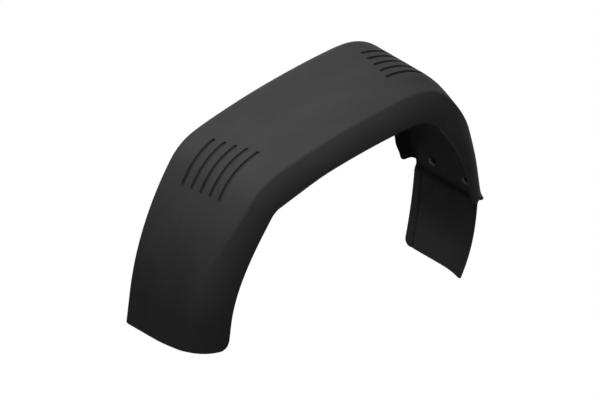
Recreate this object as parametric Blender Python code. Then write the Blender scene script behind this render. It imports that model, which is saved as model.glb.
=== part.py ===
"""Trailer mudguard: a moulded black shell over one wheel, with an extension panel bolted to its rear skirt.

The frame: X runs along the trailer with the front of the guard at -X, and Z is up. The flat outer face
of the inner flange lies in the plane Y = 0 and faces +Y, where the trailer's side is. The wheel turns
under the shell, at -Y. The origin is on that flange face, at mid-length. Lengths are in metres.
"""

import bpy
import bmesh
from math import asin, cos, pi, radians, sin, sqrt
from mathutils import Matrix, Vector

# Clearance between pieces that touch
CLEARANCE = 0.0003

# Shell, overall: its reach from the crest and its height, at the level of the front skirt's foot
FRONT_REACH = 0.3865
REAR_REACH = 0.3870
GUARD_HEIGHT = 0.3683
GUARD_WIDTH = 0.2234
WALL = 0.003
CREST_ABOVE_MOUNT = 0.031

# Shell, side view: tangent arcs from the crest down to a straight foot, rounder at the rear shoulder
EASE_RADIUS = 0.3825
FRONT_CROWN_TURN = radians(5.3)
FRONT_EASE_TURN = radians(7.0)
FRONT_SHOULDER_RADIUS = 0.1165
FRONT_SHOULDER_TURN = radians(39.3)
FRONT_SKIRT_RADIUS = 0.512
FRONT_SKIRT_TURN = radians(30.4)
REAR_CROWN_TURN = radians(4.5)
REAR_EASE_TURN = radians(2.4)
REAR_SHOULDER_RADIUS = 0.176
REAR_SHOULDER_TURN = radians(48.0)
REAR_SKIRT_RADIUS = 0.4905
REAR_SKIRT_TURN = radians(27.0)
REAR_DROP = 0.0200

# Shell, cross section at the crown, from the inner flange to the outer side wall. The flange's fillet
# tightens over each shoulder, between two distances from the crest.
FLANGE_DEPTH = 0.044
CROWN_FILLET = 0.018
SKIRT_FILLET = 0.0128
FILLET_TIGHTENS_FROM = 0.164
FILLET_TIGHTENS_TO = 0.258
BEND_RADIUS = 0.150
BEND_TURN = radians(17)
CHAMFER_WIDTH = 0.0265
CREASE_RADIUS = 0.008
CREASE_TURN = radians(44)
SIDE_DEPTH = 0.0744
ARCH_CORNER_BEFORE_SHOULDER = 0.022
ARCH_CORNER_SPREAD = 0.120
ARCH_CORNER_DEPTH = 0.0056

# Shell, cross section at the skirts' feet, where one round corner takes the place of the crease
FOOT_FLANGE_DEPTH = 0.037
FLANGE_NARROWS_FROM = 0.070
FOOT_CORNER_RADIUS = 0.0671
FOOT_CORNER_TURN = radians(84)
FOOT_TUCK = 0.0070
FRONT_CREASE_FADES_FROM = 0.355
FRONT_CREASE_FADES_TO = 0.081
REAR_CREASE_FADES_FROM = 0.276
REAR_CREASE_FADES_TO = 0.054

# Shell, lower edges of the skirts
FLANGE_CORNER = 0.0115
END_ZONE = 0.09
FRONT_RISE = 0.0076
FRONT_RISE_BEGINS = 0.166
FRONT_RISE_ENDS = 0.074
FRONT_NEAR_CORNER = 0.0176
REAR_RISE = 0.040
REAR_RISE_BEGINS = 0.080
REAR_RISE_ENDS = 0.030
REAR_NEAR_CORNER = 0.022
REAR_FAR_RISE = 0.026
REAR_FAR_RISE_BEGINS = 0.070
REAR_FAR_RISE_ENDS = 0.004
REAR_LIP = 0.010
REAR_LIP_HEIGHT = 0.022
REAR_LIP_RAMP = 0.028
REAR_LIP_CLEARS = 0.005

# Grooves moulded across each shoulder, each with a rib under it
GROOVES_PER_SHOULDER = 5
GROOVE_PITCH = 0.023
FIRST_GROOVE_ACROSS = 0.0555
GROOVE_WIDTH = 0.0065
GROOVE_DEPTH = 0.0035
GROOVE_FLOOR = 0.0025
FIRST_GROOVE_LENGTH = 0.111
GROOVE_LENGTH_STEP = 0.0045
FRONT_GROOVE_BEFORE_SHOULDER = 0.0044
REAR_GROOVE_PAST_SHOULDER = 0.0205
GROOVE_SHIFT_STEP = 0.0065

# Rear extension panel, bolted flat to the outside of the rear skirt
PANEL_WALL = 0.003
PANEL_OVERLAP = 0.042
PANEL_BELOW_GUARD = 0.1775
PANEL_FAR_EDGE = 0.0005
PANEL_PAST_FLAT = 0.0134
PANEL_JOGGLE_LENGTH = 0.010
PANEL_JOGGLE_TURN = radians(39.6)
PANEL_SWEEP_FROM = radians(95.2)
PANEL_SWEEP_RADIUS = 0.958
PANEL_CURL_WIDTH = 0.0674
PANEL_CURL_RADIUS = 0.1555
PANEL_GROOVE_FROM = 0.018
PANEL_GROOVE_WIDTH = 0.007
PANEL_GROOVE_DEPTH = 0.0018
PANEL_FAR_CORNER = 0.014
PANEL_NEAR_CORNER = 0.008

# Fasteners that hold the extension panel to the rear skirt
BOLT_DIAMETER = 0.006
BOLT_ABOVE_FOOT = 0.0293
BOLT_FROM_GROOVE = 0.0180
BOLT_FROM_CORNER = 0.0017
BOLT_HEAD_DIAMETER = 0.0115
BOLT_HEAD_HEIGHT = 0.0036
BOLT_SOCKET_ACROSS = 0.004
BOLT_SOCKET_DEPTH = 0.002
BOLT_PAST_NUT = 0.002
WASHER_DIAMETER = 0.016
WASHER_THICKNESS = 0.0014
NUT_ACROSS_FLATS = 0.010
NUT_HEX_HEIGHT = 0.005
NUT_COLLAR_DIAMETER = 0.0088
NUT_COLLAR_HEIGHT = 0.0025

COLOUR_SHELL = (0.030, 0.030, 0.031, 1.0)
COLOUR_PANEL = (0.026, 0.026, 0.027, 1.0)
COLOUR_STEEL = (0.20, 0.20, 0.20, 1.0)


def smooth(value):
    """Ease from 0 to 1 as value goes from 0 to 1."""
    value = min(max(value, 0.0), 1.0)
    return value * value * (3 - 2 * value)


def locate(runs, distance, start=(0.0, 0.0), heading=0.0):
    """Place and heading at a distance along tangent runs, each a (length, turn, steps)."""
    across, down = start
    for length, turn, _ in runs:
        piece = min(distance, length)
        half = turn * piece / length / 2
        chord = piece * (sin(half) / half if half else 1.0)
        across += chord * cos(heading + half)
        down += chord * sin(heading + half)
        heading += 2 * half
        distance -= piece
        if distance <= 0:
            break
    return across, down, heading


def run_length(runs):
    return sum(length for length, _, _ in runs)


def stops(runs):
    """The distances at which a run's steps end, from 0 to the whole length."""
    distances = [0.0]
    for length, _, steps in runs:
        begin = distances[-1]
        distances += [begin + length * (step + 1) / steps for step in range(steps)]
    return distances


def arc(radius, turn, steps):
    return (radius * turn, turn, steps)


def guard_profile(reach, drop, crown_turn, middle):
    """Runs from the crest to a skirt's foot. The crown's radius and the foot's length close them."""
    across, down, heading = locate(middle, run_length(middle), heading=crown_turn)
    across_left = reach - across
    down_left = GUARD_HEIGHT - down
    spread = sin(crown_turn) * sin(heading) - cos(heading) * (1 - cos(crown_turn))
    crown_radius = (across_left * sin(heading) - down_left * cos(heading)) / spread
    foot = (down_left - crown_radius * (1 - cos(crown_turn))) / sin(heading)
    return [
        arc(crown_radius, crown_turn, 4),
        *middle,
        (foot + drop - REAR_LIP_HEIGHT, 0.0, 4),
        (REAR_LIP_HEIGHT, 0.0, 3),
    ]


FRONT_MIDDLE = [
    arc(EASE_RADIUS, FRONT_EASE_TURN, 2),
    arc(FRONT_SHOULDER_RADIUS, FRONT_SHOULDER_TURN, 8),
    arc(FRONT_SKIRT_RADIUS, FRONT_SKIRT_TURN, 7),
]
REAR_MIDDLE = [
    arc(EASE_RADIUS, REAR_EASE_TURN, 1),
    arc(REAR_SHOULDER_RADIUS, REAR_SHOULDER_TURN, 10),
    arc(REAR_SKIRT_RADIUS, REAR_SKIRT_TURN, 6),
]
FRONT_PROFILE = guard_profile(FRONT_REACH, 0.0, FRONT_CROWN_TURN, FRONT_MIDDLE)
REAR_PROFILE = guard_profile(REAR_REACH, REAR_DROP, REAR_CROWN_TURN, REAR_MIDDLE)
FRONT_PATH = run_length(FRONT_PROFILE)
REAR_PATH = run_length(REAR_PROFILE)
FRONT_SHOULDER_START = run_length(FRONT_PROFILE[:2])
REAR_SHOULDER_START = run_length(REAR_PROFILE[:2])


def edge_runs(length, turn, radius, inward):
    """Splits a run so that a rounded corner of this radius at its free end gets close steps."""
    rest = (length - radius, turn * (length - radius) / length)
    wide = (0.7 * radius, turn * 0.7 * radius / length, 2)
    close = (0.3 * radius, turn * 0.3 * radius / length, 3)
    if inward:
        return [close, wide, (*rest, 1)]
    return [(*rest, 4), wide, close]


def crown_section(fillet, flange_depth):
    corner = [
        arc(BEND_RADIUS, BEND_TURN, 2),
        (CHAMFER_WIDTH, 0.0, 1),
        arc(CREASE_RADIUS, CREASE_TURN, 3),
    ]
    across, down, heading = locate(corner, run_length(corner))
    wall_radius = (SIDE_DEPTH - down) / cos(heading)
    wall_turn = pi / 2 - heading
    flat = GUARD_WIDTH - fillet - across - wall_radius * (1 - sin(heading))
    return [
        *edge_runs(flange_depth - fillet, 0.0, FLANGE_CORNER, True),
        arc(fillet, pi / 2, 5),
        (flat, 0.0, 4),
        *corner,
        *edge_runs(wall_radius * wall_turn, wall_turn, REAR_NEAR_CORNER, False),
    ]


def foot_flat_end():
    """How far from the mounting face the flat of a skirt's foot ends."""
    return GUARD_WIDTH - FOOT_TUCK - FOOT_CORNER_RADIUS * sin(FOOT_CORNER_TURN)


def foot_section(fillet, flange_depth):
    parts = [radians(8), radians(4), radians(6)]
    wall_turn = FOOT_CORNER_TURN - sum(parts)
    return [
        *edge_runs(flange_depth - fillet, 0.0, FLANGE_CORNER, True),
        arc(fillet, pi / 2, 5),
        (foot_flat_end() - fillet, 0.0, 4),
        arc(FOOT_CORNER_RADIUS, parts[0], 2),
        arc(FOOT_CORNER_RADIUS, parts[1], 1),
        arc(FOOT_CORNER_RADIUS, parts[2], 3),
        *edge_runs(FOOT_CORNER_RADIUS * wall_turn, wall_turn, REAR_NEAR_CORNER, False),
    ]


def section_places(runs, flange_depth):
    """(across, depth, heading) at each step of a section that starts at the flange's free edge."""
    return [locate(runs, stop, (0.0, flange_depth), -pi / 2) for stop in stops(runs)]


def guard_point(along, across, depth):
    """World point under the shell's outer line, at a distance along it from the crest."""
    side = 1.0 if along >= 0 else -1.0
    x, drop, slope = locate(REAR_PROFILE if along >= 0 else FRONT_PROFILE, abs(along))
    outward = Vector((side * sin(slope), 0.0, cos(slope)))
    return Vector((side * x, -across, CREST_ABOVE_MOUNT - drop)) - depth * outward


def corner_trim(distance, radius):
    """How much a rounded corner takes off an edge, at a distance from the corner."""
    if distance >= radius:
        return 0.0
    return radius - sqrt(radius**2 - (radius - distance) ** 2)


def ramp(value, begins, ends):
    """Ease from 0 to 1 as value goes from where the ramp begins to where it ends."""
    return smooth((value - begins) / (ends - begins))


def front_trim(from_flange, from_near):
    """How far above its lowest line the front skirt's edge lies."""
    return (
        corner_trim(from_flange, FLANGE_CORNER)
        + corner_trim(from_near, FRONT_NEAR_CORNER)
        + FRONT_RISE * ramp(from_near, FRONT_RISE_BEGINS, FRONT_RISE_ENDS)
    )


def rear_trim(from_flange, from_near):
    """How far above its lowest line the rear skirt's edge lies, at the flange and at the side wall."""
    return (
        corner_trim(from_flange, FLANGE_CORNER)
        + corner_trim(from_near, REAR_NEAR_CORNER)
        + REAR_RISE * ramp(from_near, REAR_RISE_BEGINS, REAR_RISE_ENDS)
        + REAR_FAR_RISE * ramp(from_flange, REAR_FAR_RISE_BEGINS, REAR_FAR_RISE_ENDS)
    )


def lip_share(from_near):
    """The rear lip is on the round corner only: none beside the panel, none at the side wall's edge."""
    panel_turn = asin((PANEL_PAST_FLAT + REAR_LIP_CLEARS) / FOOT_CORNER_RADIUS)
    begins = FOOT_CORNER_RADIUS * (FOOT_CORNER_TURN - panel_turn)
    from_flat = ramp(from_near, begins, begins - REAR_LIP_RAMP)
    from_wall = ramp(from_near, REAR_RISE_ENDS, REAR_RISE_BEGINS)
    return from_flat * from_wall


def arch_corner(along):
    """How much deeper the side wall is near the front shoulder, where the wheel opening is rounder."""
    if along > 0:
        return 0.0
    middle = FRONT_SHOULDER_START - ARCH_CORNER_BEFORE_SHOULDER
    return ARCH_CORNER_DEPTH * smooth(1 - abs(-along - middle) / ARCH_CORNER_SPREAD)


def shell_rows():
    """The shell's outer surface, as rows of points across it, from the front foot to the rear one."""
    alongs = [-stop for stop in reversed(stops(FRONT_PROFILE)[1:])] + stops(REAR_PROFILE)
    rows = []
    for along in alongs:
        rear = along > 0
        reach = abs(along)
        path = REAR_PATH if rear else FRONT_PATH
        tightening = ramp(reach, FILLET_TIGHTENS_FROM, FILLET_TIGHTENS_TO)
        fillet = CROWN_FILLET + tightening * (SKIRT_FILLET - CROWN_FILLET)
        narrowing = ramp(path - reach, FLANGE_NARROWS_FROM, 0.0)
        flange_depth = FLANGE_DEPTH + narrowing * (FOOT_FLANGE_DEPTH - FLANGE_DEPTH)
        crown = section_places(crown_section(fillet, flange_depth), flange_depth)
        foot_runs = foot_section(fillet, flange_depth)
        foot = section_places(foot_runs, flange_depth)
        foot_stops = stops(foot_runs)
        if rear:
            fade = ramp(path - REAR_DROP - reach, REAR_CREASE_FADES_FROM, REAR_CREASE_FADES_TO)
        else:
            fade = ramp(path - reach, FRONT_CREASE_FADES_FROM, FRONT_CREASE_FADES_TO)
        row = []
        for top, low, stop in zip(crown, foot, foot_stops):
            across = top[0] + fade * (low[0] - top[0])
            depth = top[1] + fade * (low[1] - top[1])
            if low[2] > 0:
                depth += arch_corner(along) * (depth / SIDE_DEPTH) ** 2
            from_near = foot_stops[-1] - stop
            trim = rear_trim(stop, from_near) if rear else front_trim(stop, from_near)
            place = reach - trim * max(0.0, 1 - (path - reach) / END_ZONE)
            if rear:
                flare = max(0.0, 1 - (path - trim - place) / REAR_LIP_HEIGHT)
                lip = REAR_LIP * flare**2 * lip_share(from_near)
                across += lip * sin(low[2])
                depth -= lip * cos(low[2])
            row.append(guard_point(place if rear else -place, across, depth))
        rows.append(row)
    return rows


def grid_object(name, rows, thickness):
    """A sheet through rows of points, thickened away from its outer side."""
    mesh = bpy.data.meshes.new(name)
    sheet = bmesh.new()
    grid = [[sheet.verts.new(point) for point in row] for row in rows]
    for row, after in zip(grid, grid[1:]):
        for left, right, far_right, far_left in zip(row, row[1:], after[1:], after):
            sheet.faces.new((left, right, far_right, far_left))
    sheet.to_mesh(mesh)
    sheet.free()
    obj = add_object(name, mesh)
    solid = obj.modifiers.new("thickness", "SOLIDIFY")
    solid.thickness = thickness
    solid.offset = -1.0
    solid.use_even_offset = True
    return obj


def add_object(name, mesh):
    obj = bpy.data.objects.new(name, mesh)
    bpy.context.scene.collection.objects.link(obj)
    return obj


def finish(obj, material, sharp_angle=30):
    obj.data.materials.append(material)
    obj.data.shade_smooth()
    obj.data.set_sharp_from_angle(angle=radians(sharp_angle))


def hide_helper(obj):
    obj.hide_render = True
    obj.display_type = "WIRE"


def boolean(obj, helper, operation):
    modifier = obj.modifiers.new(helper.name, "BOOLEAN")
    modifier.operation = operation
    modifier.solver = "EXACT"
    modifier.object = helper


def bar_stations(begin, end, half_width):
    """(distance, half width) along a bar with round ends."""
    turns = [radians(angle) for angle in (10, 35, 62, 90)]
    nose = [(begin + half_width * (1 - cos(t)), half_width * sin(t)) for t in turns]
    inner = (end - begin) - 2 * half_width
    count = 9
    middle = [(begin + half_width + inner * (k + 1) / count, half_width) for k in range(count - 1)]
    tail = [(begin + end - place, half) for place, half in reversed(nose)]
    return nose + middle + tail


def add_groove_bar(bars, begin, end, across, half_width, top, bottom):
    """Adds one round-ended bar that follows the shoulder between two depths."""
    rings = []
    for place, half in bar_stations(abs(begin), abs(end), half_width):
        along = place if begin > 0 else -place
        corners = [(-half, top), (half, top), (half, bottom), (-half, bottom)]
        rings.append([bars.verts.new(guard_point(along, across + w, d)) for w, d in corners])
    for ring, after in zip(rings, rings[1:]):
        for k in range(4):
            bars.faces.new((ring[k], after[k], after[(k + 1) % 4], ring[(k + 1) % 4]))
    bars.faces.new(rings[0])
    bars.faces.new(list(reversed(rings[-1])))


def groove_helper(name, extra_width, top, bottom):
    """All the grooves of both shoulders as one helper, each wider and longer by an extra on each side."""
    bars = bmesh.new()
    front_start = FRONT_SHOULDER_START - FRONT_GROOVE_BEFORE_SHOULDER
    rear_start = REAR_SHOULDER_START + REAR_GROOVE_PAST_SHOULDER
    for k in range(GROOVES_PER_SHOULDER):
        across = FIRST_GROOVE_ACROSS + k * GROOVE_PITCH
        length = FIRST_GROOVE_LENGTH + k * GROOVE_LENGTH_STEP
        half_width = GROOVE_WIDTH / 2 + extra_width
        for side, first in ((-1, front_start), (1, rear_start)):
            high = first - k * GROOVE_SHIFT_STEP
            begin = side * (high - extra_width)
            end = side * (high + length + extra_width)
            add_groove_bar(bars, begin, end, across, half_width, top, bottom)
    bmesh.ops.recalc_face_normals(bars, faces=bars.faces)
    mesh = bpy.data.meshes.new(name)
    bars.to_mesh(mesh)
    bars.free()
    helper = add_object(name, mesh)
    hide_helper(helper)
    return helper


def panel_start():
    """Where the panel's rear face begins, on the outside of the rear skirt, and its heading."""
    along = REAR_PATH - PANEL_OVERLAP
    point = guard_point(along, 0.0, -CLEARANCE - PANEL_WALL)
    heading = locate(REAR_PROFILE, along)[2]
    return (point.x, -point.z), heading


def panel_profile():
    """Runs down the panel: along the skirt, a joggle in under its edge, then a sweep to the wheel."""
    heading = panel_start()[1]
    turn_back = PANEL_SWEEP_FROM - heading - PANEL_JOGGLE_TURN
    joggle = [
        (PANEL_JOGGLE_LENGTH, PANEL_JOGGLE_TURN, 4),
        (PANEL_JOGGLE_LENGTH, turn_back, 3),
    ]
    sweep = PANEL_BELOW_GUARD - 2 * PANEL_JOGGLE_LENGTH
    sweep_turn = sweep / PANEL_SWEEP_RADIUS
    foot_share = PANEL_FAR_CORNER / sweep
    return [
        (PANEL_FAR_CORNER, 0.0, 3),
        (PANEL_OVERLAP - PANEL_FAR_CORNER, 0.0, 1),
        *joggle,
        arc(PANEL_SWEEP_RADIUS, sweep_turn * (1 - foot_share), 8),
        arc(PANEL_SWEEP_RADIUS, sweep_turn * foot_share, 3),
    ]


def panel_section():
    """Runs across the panel's foot, from its far edge to its near one, which curls to the wheel."""
    curl_from = foot_flat_end() + PANEL_PAST_FLAT - PANEL_CURL_WIDTH
    field = curl_from - PANEL_FAR_EDGE - PANEL_GROOVE_FROM - PANEL_GROOVE_WIDTH
    curl_turn = asin(PANEL_CURL_WIDTH / PANEL_CURL_RADIUS)
    curl = PANEL_CURL_RADIUS * curl_turn
    edge_share = PANEL_NEAR_CORNER / curl
    return [
        (0.3 * PANEL_FAR_CORNER, 0.0, 2),
        (0.7 * PANEL_FAR_CORNER, 0.0, 2),
        (PANEL_GROOVE_FROM - PANEL_FAR_CORNER, 0.0, 1),
        (PANEL_GROOVE_WIDTH, 0.0, 4),
        (field, 0.0, 3),
        arc(PANEL_CURL_RADIUS, curl_turn * (1 - edge_share), 5),
        arc(PANEL_CURL_RADIUS, curl_turn * edge_share, 3),
    ]


def panel_rows():
    """The panel's rear face, as rows of points across it, from its top edge to its foot."""
    start, heading = panel_start()
    profile = panel_profile()
    height = run_length(profile)
    section = panel_section()
    section_stops = stops(section)
    foot = [locate(section, stop, (PANEL_FAR_EDGE, 0.0)) for stop in section_stops]
    rows = []
    for along in stops(profile):
        curl_share = max(0.0, (along - PANEL_OVERLAP) / (height - PANEL_OVERLAP)) ** 3
        to_foot = max(0.0, 2 * along / height - 1)
        to_top = max(0.0, 1 - along / PANEL_OVERLAP)
        row = []
        for (foot_across, curl, _), stop in zip(foot, section_stops):
            flat_across = PANEL_FAR_EDGE + stop
            across = flat_across + curl_share * (foot_across - flat_across)
            in_groove = (stop - PANEL_GROOVE_FROM) / PANEL_GROOVE_WIDTH
            groove = PANEL_GROOVE_DEPTH * smooth(1 - abs(2 * in_groove - 1))
            trim = corner_trim(stop, PANEL_FAR_CORNER)
            trim += corner_trim(section_stops[-1] - stop, PANEL_NEAR_CORNER)
            x, down, slope = locate(profile, along + trim * (to_top - to_foot), start, heading)
            outward = Vector((sin(slope), 0.0, cos(slope)))
            row.append(Vector((x, -across, -down)) - (curl_share * curl - groove) * outward)
        rows.append(row)
    return rows


def bolt_places():
    """Distances of the two bolts from the mounting face, one by the panel's groove, one by the corner."""
    groove_ends = PANEL_FAR_EDGE + PANEL_GROOVE_FROM + PANEL_GROOVE_WIDTH
    far = groove_ends + BOLT_FROM_GROOVE + WASHER_DIAMETER / 2
    near = foot_flat_end() - BOLT_FROM_CORNER - WASHER_DIAMETER / 2
    return [far, near]


def bolt_matrix(across):
    """Places a turned piece on a bolt's axis: its Z is the skirt's outward normal, 0 at the outer face."""
    along = REAR_PATH - BOLT_ABOVE_FOOT
    slope = locate(REAR_PROFILE, along)[2]
    outward = Vector((sin(slope), 0.0, cos(slope)))
    turn = outward.to_track_quat("Z", "Y").to_matrix().to_4x4()
    return Matrix.Translation(guard_point(along, across, 0.0)) @ turn


def turned_mesh(name, outline, sides=24):
    """A solid of revolution about Z from (radius, height) points that run round its section."""
    work = bmesh.new()
    rings = []
    for k in range(sides):
        angle = 2 * pi * k / sides
        rings.append([(r * cos(angle), r * sin(angle), z) for r, z in outline])
    loops = [[work.verts.new(point) for point in ring] for ring in rings]
    for k, loop in enumerate(loops):
        after = loops[(k + 1) % sides]
        for m in range(len(outline)):
            n = (m + 1) % len(outline)
            work.faces.new((loop[m], after[m], after[n], loop[n]))
    bmesh.ops.remove_doubles(work, verts=work.verts, dist=1e-7)
    bmesh.ops.recalc_face_normals(work, faces=work.faces)
    mesh = bpy.data.meshes.new(name)
    work.to_mesh(mesh)
    work.free()
    return mesh


def cylinder_mesh(name, radius, low, high, sides):
    work = bmesh.new()
    bmesh.ops.create_cone(
        work, cap_ends=True, segments=sides, radius1=radius, radius2=radius, depth=high - low
    )
    bmesh.ops.translate(work, verts=work.verts, vec=(0.0, 0.0, (high + low) / 2))
    mesh = bpy.data.meshes.new(name)
    work.to_mesh(mesh)
    work.free()
    return mesh


def stack_levels():
    """Heights on a bolt's axis of what it passes through, from the wheel side outwards."""
    washer_foot = -WALL - CLEARANCE - WASHER_THICKNESS
    head_seat = washer_foot - CLEARANCE
    outer_washer = CLEARANCE + PANEL_WALL + CLEARANCE
    nut_seat = outer_washer + WASHER_THICKNESS + CLEARANCE
    nut_top = nut_seat + NUT_HEX_HEIGHT + NUT_COLLAR_HEIGHT
    return washer_foot, head_seat, outer_washer, nut_seat, nut_top


def hole_helper():
    """Clearance holes for the bolts, through the skirt and the panel."""
    reach = WALL + PANEL_WALL + BOLT_DIAMETER
    mesh = cylinder_mesh("bolt_holes", BOLT_DIAMETER / 2 + CLEARANCE, -reach, reach, 24)
    work = bmesh.new()
    for across in bolt_places():
        copy = mesh.copy()
        copy.transform(bolt_matrix(across))
        work.from_mesh(copy)
        bpy.data.meshes.remove(copy)
    work.to_mesh(mesh)
    work.free()
    helper = add_object("bolt_holes", mesh)
    hide_helper(helper)
    return helper


def washer_mesh(name):
    inner = BOLT_DIAMETER / 2 + CLEARANCE
    outer = WASHER_DIAMETER / 2
    outline = [(inner, 0.0), (outer, 0.0), (outer, WASHER_THICKNESS), (inner, WASHER_THICKNESS)]
    return turned_mesh(name, outline)


def bolt_mesh(head_seat, end):
    """A button-head bolt: a domed head towards the wheel, and a plain shank."""
    head = BOLT_HEAD_DIAMETER / 2
    shank = BOLT_DIAMETER / 2
    rim = 0.2 * BOLT_HEAD_HEIGHT
    dome = []
    for angle in (0, 22, 45, 68):
        turn = radians(angle)
        dome.append((head * cos(turn), head_seat - rim - (BOLT_HEAD_HEIGHT - rim) * sin(turn)))
    outline = [
        (0.0, end),
        (shank - 0.0006, end),
        (shank, end - 0.0006),
        (shank, head_seat),
        (head, head_seat),
        *dome,
        (0.0, head_seat - BOLT_HEAD_HEIGHT),
    ]
    return turned_mesh("button_head_bolt", outline)


def socket_mesh(head_seat):
    top = head_seat - BOLT_HEAD_HEIGHT - BOLT_SOCKET_DEPTH
    bottom = head_seat - BOLT_HEAD_HEIGHT + BOLT_SOCKET_DEPTH
    return cylinder_mesh("bolt_socket", BOLT_SOCKET_ACROSS / sqrt(3), top, bottom, 6)


def make_nut(name, matrix, material):
    """A lock nut: hexagon and collar joined, then bored through."""
    nut = add_object(name, cylinder_mesh(name, NUT_ACROSS_FLATS / sqrt(3), 0.0, NUT_HEX_HEIGHT, 6))
    collar_top = NUT_HEX_HEIGHT + NUT_COLLAR_HEIGHT
    collar_mesh = cylinder_mesh("nut_collar", NUT_COLLAR_DIAMETER / 2, NUT_HEX_HEIGHT / 2, collar_top, 24)
    bore_radius = BOLT_DIAMETER / 2 + CLEARANCE
    bore_mesh = cylinder_mesh("nut_bore", bore_radius, -NUT_HEX_HEIGHT, 2 * collar_top, 24)
    for mesh, operation in ((collar_mesh, "UNION"), (bore_mesh, "DIFFERENCE")):
        helper = add_object(f"{name}_{mesh.name}", mesh)
        hide_helper(helper)
        helper.matrix_world = matrix
        boolean(nut, helper, operation)
    nut.matrix_world = matrix
    finish(nut, material)


def principled(name, colour, roughness, metallic):
    material = bpy.data.materials.new(name)
    material.use_nodes = True
    shader = material.node_tree.nodes["Principled BSDF"]
    shader.inputs["Base Color"].default_value = colour
    shader.inputs["Roughness"].default_value = roughness
    shader.inputs["Metallic"].default_value = metallic
    return material


def make_shell(holes, material):
    shell = grid_object("guard_shell", shell_rows(), WALL)
    rib_foot = GROOVE_DEPTH + GROOVE_FLOOR
    ribs = groove_helper("groove_ribs", GROOVE_FLOOR, WALL / 2, rib_foot)
    grooves = groove_helper("groove_cuts", 0.0, -WALL, GROOVE_DEPTH)
    boolean(shell, ribs, "UNION")
    boolean(shell, grooves, "DIFFERENCE")
    boolean(shell, holes, "DIFFERENCE")
    finish(shell, material)


def make_panel(holes, material):
    panel = grid_object("rear_extension", panel_rows(), PANEL_WALL)
    boolean(panel, holes, "DIFFERENCE")
    finish(panel, material)


def make_fasteners(material):
    washer_foot, head_seat, outer_washer, nut_seat, nut_top = stack_levels()
    bolt = bolt_mesh(head_seat, nut_top + BOLT_PAST_NUT)
    washer = washer_mesh("plain_washer")
    for number, across in enumerate(bolt_places(), start=1):
        matrix = bolt_matrix(across)
        bolt_object = add_object(f"extension_bolt_{number}", bolt.copy())
        socket = add_object(f"bolt_socket_{number}", socket_mesh(head_seat))
        hide_helper(socket)
        socket.matrix_world = matrix
        bolt_object.matrix_world = matrix
        boolean(bolt_object, socket, "DIFFERENCE")
        finish(bolt_object, material)
        for name, level in (("inner_washer", washer_foot), ("outer_washer", outer_washer)):
            ring = add_object(f"{name}_{number}", washer.copy())
            ring.matrix_world = matrix @ Matrix.Translation((0.0, 0.0, level))
            finish(ring, material)
        seat = matrix @ Matrix.Translation((0.0, 0.0, nut_seat))
        make_nut(f"lock_nut_{number}", seat, material)


def main():
    for obj in list(bpy.data.objects):
        bpy.data.objects.remove(obj, do_unlink=True)
    holes = hole_helper()
    make_shell(holes, principled("black_polypropylene", COLOUR_SHELL, 0.5, 0.0))
    make_panel(holes, principled("black_extension_plastic", COLOUR_PANEL, 0.5, 0.0))
    make_fasteners(principled("plated_steel", COLOUR_STEEL, 0.35, 1.0))


main()
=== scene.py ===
import bpy
from math import asin, ceil, cos, exp, pi, radians, sin, sqrt
from mathutils import Matrix, Vector
from mathutils.kdtree import KDTree


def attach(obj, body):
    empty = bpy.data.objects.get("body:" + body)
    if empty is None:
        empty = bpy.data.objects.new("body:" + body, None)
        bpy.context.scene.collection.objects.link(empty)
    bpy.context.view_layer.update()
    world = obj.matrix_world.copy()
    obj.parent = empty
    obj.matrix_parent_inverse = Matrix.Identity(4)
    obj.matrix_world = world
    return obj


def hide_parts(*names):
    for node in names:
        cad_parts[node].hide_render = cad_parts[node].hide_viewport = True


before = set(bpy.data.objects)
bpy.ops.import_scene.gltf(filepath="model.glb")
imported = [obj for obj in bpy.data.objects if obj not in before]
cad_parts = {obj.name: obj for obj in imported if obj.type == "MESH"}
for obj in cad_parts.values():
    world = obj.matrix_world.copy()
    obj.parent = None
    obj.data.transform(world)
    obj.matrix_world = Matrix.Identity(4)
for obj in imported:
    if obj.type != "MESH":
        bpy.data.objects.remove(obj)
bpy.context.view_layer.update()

fit = {"clearance": 0.0003, "shoulderLine": 0.031}  # gap between pieces, crest's height over the origin


# Measuring along lines made of tangent arcs


def ease(value):
    value = min(max(value, 0.0), 1.0)
    return value * value * (3 - 2 * value)


def ramp(value, begins, ends):
    return ease((value - begins) / (ends - begins))


def locate(runs, distance, start=(0.0, 0.0), heading=0.0):
    across, down = start
    for length, turn in runs:
        part = min(distance, length)
        half = turn * part / length / 2
        chord = part * (sin(half) / half if half else 1.0)
        across += chord * cos(heading + half)
        down += chord * sin(heading + half)
        heading += 2 * half
        distance -= part
        if distance <= 0:
            break
    return across, down, heading


def lengthOf(runs):
    return sum(length for length, turn in runs)


def stopsOf(runs, steps):
    stops = [0.0]
    for (length, turn), count in zip(runs, steps):
        stops += [stops[-1] + length * (k + 1) / count for k in range(count)]
    return stops


def arc(radius, degrees):
    return (radius * radians(degrees), radians(degrees))


def roundCorner(distance, radius):
    if distance >= radius:
        return 0.0
    return radius - sqrt(radius**2 - (radius - distance) ** 2)


# The shell's side view, from the crest to each skirt's foot

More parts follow.
